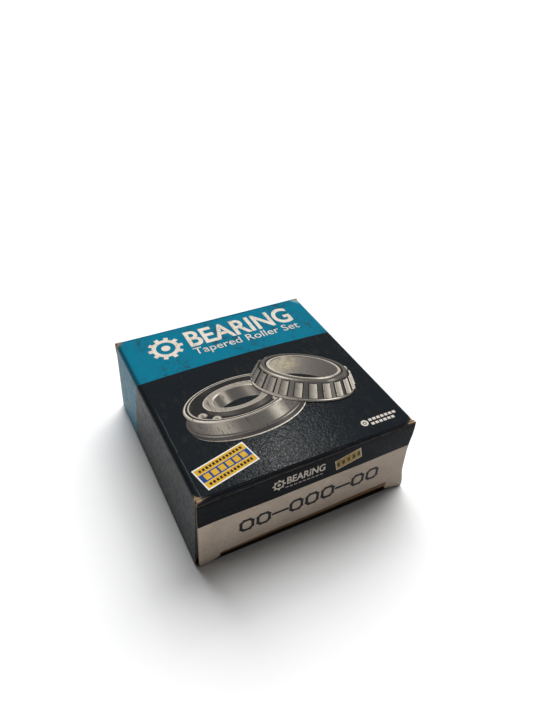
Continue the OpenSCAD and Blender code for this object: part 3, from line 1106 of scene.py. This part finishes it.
# %% Turn, view and squash a solid
class Picture:
    """A solid drawn on the top panel: where it stands, its size, rise, roll and layer."""

    def __init__(self, u, v, scale, rise_degrees, roll_degrees, layer):
        self.center, self.scale, self.layer = (u, v), scale, layer
        self.rise, self.roll = math.radians(rise_degrees), math.radians(roll_degrees)
        self.vertices, self.faces, self.tones = [], [], []

    def seen(self, vectors):
        """Across, up and towards the eye, for directions or points of the upright solid."""
        x, y, z = np.asarray(vectors, float).T
        up = y * math.sin(self.rise) + z * math.cos(self.rise)
        near = -y * math.cos(self.rise) + z * math.sin(self.rise)
        c, s = math.cos(self.roll), math.sin(self.roll)
        return np.stack([x * c - up * s, x * s + up * c, near], -1)

    def tone(self, normals, shade):
        """Grey of polished steel between soft windows and a dark floor; matt if shade is below 0."""
        across, up, near = self.seen(normals).T
        if shade < 0:
            return np.clip(-shade * (0.85 + 0.45 * across), 0, 1)
        turn = np.arctan2(across, near)
        window = 0.6 * np.exp(-((turn + 0.62) / 0.3) ** 2) + np.exp(-((turn - 0.55) / 0.18) ** 2)
        window = window + 0.35 * np.exp(-((turn - 1.25) / 0.16) ** 2)
        sky = np.clip(up, 0, 1) ** 1.5
        tone = 0.25 + 0.60 * window * (1 - np.abs(up)) + 0.34 * sky - 0.20 * np.clip(-up, 0, 1)
        return np.clip(tone * shade * np.clip(near * 2.2 + 0.35, 0.35, 1), 0, 1)

    def add(self, points, faces, normals, shades):
        """Adds faces over new points, each with its corners' normals and its shade."""
        first = len(self.vertices)
        self.vertices += [tuple(p) for p in np.asarray(points)]
        self.faces += [[first + int(i) for i in face] for face in faces]
        self.tones += [self.tone(corners, shade) for corners, shade in zip(normals, shades)]

    def turned(self, corners, shades, steps=96, center=(0, 0, 0)):
        """A ring turned about an upright axis from its closed outline of (radius, height) corners.

        shades gives one shade for each side of the outline. Long sides are cut shorter, so that
        the squashed faces follow the crowned panel.
        """
        profile, side_shades = [], []
        for start, stop, shade in zip(corners, corners[1:] + corners[:1], shades):
            pieces = max(1, round(math.dist(start, stop) / 2.2))
            profile += [np.add(start, np.subtract(stop, start) * k / pieces) for k in range(pieces)]
            side_shades += [shade] * pieces
        profile, count = np.array(profile), len(profile)
        edges = np.roll(profile, -1, axis=0) - profile
        turning = np.sign(np.sum(profile[:, 0] * edges[:, 1] - edges[:, 0] * profile[:, 1]))
        outward = edges[:, ::-1] * [1, -1] / np.linalg.norm(edges, axis=1)[:, None] * turning
        angles = np.linspace(0, 2 * math.pi, steps, endpoint=False)

        def spin(pairs):
            """Every (radius, height) pair turned to every angle: angles x pairs x 3."""
            radius, height = pairs.T
            return np.stack([np.outer(np.cos(angles), radius), np.outer(np.sin(angles), radius),
                             np.broadcast_to(height, (steps, len(pairs)))], -1)

        facing = spin(outward)
        faces, normals = [], []
        for side in range(count):
            following = (side + 1) % count
            for k in range(steps):
                after = (k + 1) % steps
                faces.append([k * count + side, after * count + side,
                              after * count + following, k * count + following])
                normals.append(facing[[k, after, after, k], side])
        self.add(spin(profile).reshape(-1, 3) + np.array(center), faces, normals,
                 np.repeat(side_shades, steps))

    def lay(self, name, material):
        """Squashes the solid onto the top panel and keeps its tones with the corners."""
        seen = self.seen(np.array(self.vertices)) * self.scale
        near = seen[:, 2]
        thin = self.layer + 0.15 * (near - near.min()) / max(near.max() - near.min(), 1e-6)
        points = [on_top(self.center[0] + p[0], self.center[1] + p[1], t)
                  for p, t in zip(seen, thin)]
        mesh = bpy.data.meshes.new(name)
        mesh.from_pydata([tuple(np.array(p) * MM) for p in points], [], self.faces)
        tones = mesh.color_attributes.new("tone", "FLOAT_COLOR", "CORNER")
        values = np.concatenate(self.tones)
        tones.data.foreach_set("color", np.stack([values] * 3 + [values * 0 + 1], -1).ravel())
        mesh.materials.append(material)
        piece = bpy.data.objects.new(name, mesh)
        bpy.context.scene.collection.objects.link(piece)
        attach(piece, "carton_sleeve")
        print(name, "faces:", len(mesh.polygons))


# %% The ink of the picture
def picture_ink(name):
    """A warm grey print in the stored tones, with a coarse screen, scratches and a rust stain."""
    finish = Finish(name, Specular_IOR_Level=0.28)
    tone = finish.attribute("tone")
    worn = finish.grain(0.6, 4.0, 0.7) * 0.6 + finish.grain(3.2, 3.0, shift=0.5) * 0.5
    screen = finish.grain(0.6, 4.0, 0.7, shift=1.0) * 0.7 + 0.66
    x, y = finish.axes()[:2]
    scratch = finish.grain(0.7, 3.0, 0.6, stretch=(1, 0.12, 1), shift=3.1).rise(0.60, 0.68)
    reach = ((x - 14) * (x - 14) * 0.5 + (y - 3.5) * (y - 3.5)) ** 0.5
    rust = reach.rise(6.0, 1.5) * finish.grain(2.0, 5.0, 0.7, shift=4.1).rise(0.35, 0.65)
    ramp = finish.node("ShaderNodeValToRGB", {"stops": [
        (0.0, paint(24, 24, 26)), (1.0, paint(240, 232, 218)), (0.28, paint(92, 87, 82)),
        (0.55, paint(158, 150, 138))]}, {"Fac": tone * screen})
    ramp = finish.mix(rust * 0.5, ramp, paint(196, 182, 140))
    ramp = finish.mix(scratch * 0.6, ramp, paint(40, 34, 30))
    finish.set(Base_Color=finish.mix(worn.rise(0.68, 0.82) * 0.6, ramp, paint(58, 48, 40)),
               Roughness=finish.grain(1.1, 2.0, shift=2.0) * 0.25 + 0.28)
    finish.bump(finish.grain(0.75, 2.0), 0.02)
    return finish.material


PICTURE_INK = picture_ink("picture_ink")
print("picture ink:", len(PICTURE_INK.node_tree.nodes), "nodes")

# %% The flanged ball bearing, lying down
flanged = Picture(-10.4, -14.3, 1.0, 30, 2, 0.02)
flanged.turned([(21.4, 9.4), (21.9, 8.9), (21.9, 1.6), (23.2, 1.6), (23.4, 1.2), (23.4, -0.9),
                (23.1, -1.7), (19.0, -1.6), (19.0, 3.0), (19.4, 9.4), (20.0, 9.4), (20.2, 8.8),
                (20.7, 8.8), (20.9, 9.4)],
               [1.2, 1.25, 0.3, 0.8, 0.4, -0.75, 0.2, 0.1, 0.12, 1.1, 0.1, 0.1, 0.1, 1.4], 120)
flanged.turned([(19.0, 7.4), (19.0, 2.0), (14.4, 2.0), (14.4, 7.4)], [0.05, 0.05, 0.05, 0.05], 96)
flanged.turned([(13.9, 9.8), (13.9, 2.0), (9.9, 2.0), (9.9, 9.4), (10.5, 9.9), (13.5, 9.9)],
               [0.5, 0.1, 1.05, 1.3, 0.9, 1.2], 96)


BALL, BALL_TRACK, BALL_LEVEL = 2.0, 16.8, 7.0
meridian = [(max(BALL * math.cos(a), 0.02), BALL * math.sin(a))
            for a in np.linspace(-math.pi / 2, math.pi / 2, 9)]
for degrees in (196, 224, 320):
    a = math.radians(degrees)
    flanged.turned(meridian, [1.1] * len(meridian), 16,
                   (BALL_TRACK * math.cos(a), BALL_TRACK * math.sin(a), BALL_LEVEL))
flanged.lay("picture_flanged_bearing", PICTURE_INK)

# %% The cone with its cage and rollers, leaning over
leaning = Picture(14.7, -10.4, 0.975, 29, -32, 0.18)
TOP_R, FOOT_R, TALL = 17.8, 20.4, 12.6
SLOPE = (FOOT_R - TOP_R) / TALL
leaning.turned([(FOOT_R - 2.6, 0), (FOOT_R, 0), (FOOT_R + 0.1, 0.9), (FOOT_R - 0.3, 1.3),
                (TOP_R - 0.1, TALL - 0.9), (TOP_R - 0.2, TALL), (TOP_R - 1.7, TALL),
                (TOP_R - 1.8, TALL - 1.6), (FOOT_R - 3.0, 1.0)],
               [0.3, 1.0, 1.2, 0.66, 1.3, 0.46, 0.08, 0.05, 0.05], 132)
leaning.turned([(TOP_R - 1.8, TALL - 1.2), (TOP_R - 2.8, TALL - 1.2), (FOOT_R - 5.0, 0.5),
                (FOOT_R - 3.0, 0.5)], [0.04, 0.04, 0.04, 0.04], 96)
leaning.turned([(14.8, -0.6), (14.8, -0.9), (0.02, -0.9), (0.02, -0.6)], [0, 0, 0, 0], 48)
leaning.turned([(TOP_R - 2.5, TALL - 0.3), (TOP_R - 2.9, TALL + 0.1), (TOP_R - 3.7, TALL + 0.1),
                (TOP_R - 4.0, TALL - 0.4), (TOP_R - 4.0, -0.4), (FOOT_R - 5.4, -0.4)],
               [1.2, 1.25, 0.62, -0.43, 0.4, 0.1], 120)


# %% Rollers in their windows round the cone
def roller_window(picture, degrees):
    """A dark window with the roller's bright flank in it, standing just proud of the cage."""
    a = math.radians(degrees)
    out = np.array([math.cos(a), math.sin(a), SLOPE])
    out /= np.linalg.norm(out)
    side = np.array([-math.sin(a), math.cos(a), 0])
    low_z, high_z = 1.9, TALL - 1.5
    for half, lift, margin, shade, bulge in ((2.05, 0.40, 0.0, 0.0, 0.0),
                                             (1.62, 0.70, 0.35, -0.56, 0.55)):
        points, normals = [], []
        for z in np.linspace(low_z + margin, high_z - margin, 5):
            radius = FOOT_R - SLOPE * z
            center = np.array([radius * math.cos(a), radius * math.sin(a), z])
            for t in np.linspace(-1, 1, 7):
                points.append(center + side * half * t * radius / FOOT_R
                              + out * (lift + bulge * math.sqrt(max(1 - t * t, 0))))
                normals.append(out * math.sqrt(1 - (t * 0.85) ** 2) + side * t * 0.85)
        deep = len(points)
        number = np.arange(deep).reshape(5, 7)
        front = cells(number)
        back = [[deep + i for i in reversed(face)] for face in front]
        rim = [[i, deep + i, deep + j, j] for i, j in border(number)]
        faces = front + back + rim
        turned_to = [[normals[i] for i in face] for face in front] + [[out] * 4] * len(back + rim)
        picture.add(points + [p - out * 0.5 for p in points], faces, turned_to,
                    [shade] * len(faces))


ROLLERS = 21
for k in range(ROLLERS):
    roller_window(leaning, 360 / ROLLERS * k - 94)
leaning.lay("picture_roller_cone", PICTURE_INK)

# %% [markdown]
# ## Bearing steel
# The bearing's own parts keep the shapes of the packed model and only take their finishes. Rings are
# ground and honed, so their fine lines run round the axis; rollers are nearly mirrors; the cage is
# pressed from sheet and is duller. All of it is smeared in broad patches, a little darker and rougher.

# %% Finishes of the rings, the rollers and the cage
def ground_steel(name, color, gloss, line_depth, lines=True):
    """Bare steel with fine grinding lines round its axis, or with plain grain."""
    finish = Finish(name, Metallic=1.0)
    x, y, z = finish.axes()
    radius = (x * x + y * y) ** 0.5
    turned = finish.node("ShaderNodeCombineXYZ", {}, {0: radius * MM, 1: z * MM})
    ring_lines = finish.node("ShaderNodeTexNoise", {}, {
        "Vector": turned, "Scale": 9000.0, "Detail": 2.0, "Roughness": 0.6})
    smear = finish.grain(7, 3.0, 0.6)
    lines_or_grain = ring_lines if lines else finish.grain(0.25, 3.0, 0.6)
    darker = tuple(c * 0.80 for c in color)
    finish.set(Base_Color=finish.mix(smear, color, darker),
               Roughness=lines_or_grain * 0.10 + smear * 0.14 + gloss)
    finish.bump(lines_or_grain, line_depth)
    return finish.material


RING_STEEL = ground_steel("ground_ring_steel", (0.60, 0.61, 0.63), 0.14, 0.004)
ROLLER_STEEL = ground_steel("polished_roller_steel", (0.68, 0.69, 0.71), 0.06, 0.001, False)
CAGE_STEEL = ground_steel("pressed_cage_steel", (0.40, 0.41, 0.43), 0.32, 0.010, False)

STEELS = {"cup": RING_STEEL, "cone": RING_STEEL, "cage": CAGE_STEEL, "roller": ROLLER_STEEL}
for node_name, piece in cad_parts.items():
    steel = STEELS.get(node_name.split("_")[0])
    if steel:
        for finish_slot in piece.material_slots:
            finish_slot.material = steel
print("steel given to the cup, cone, cage and rollers")
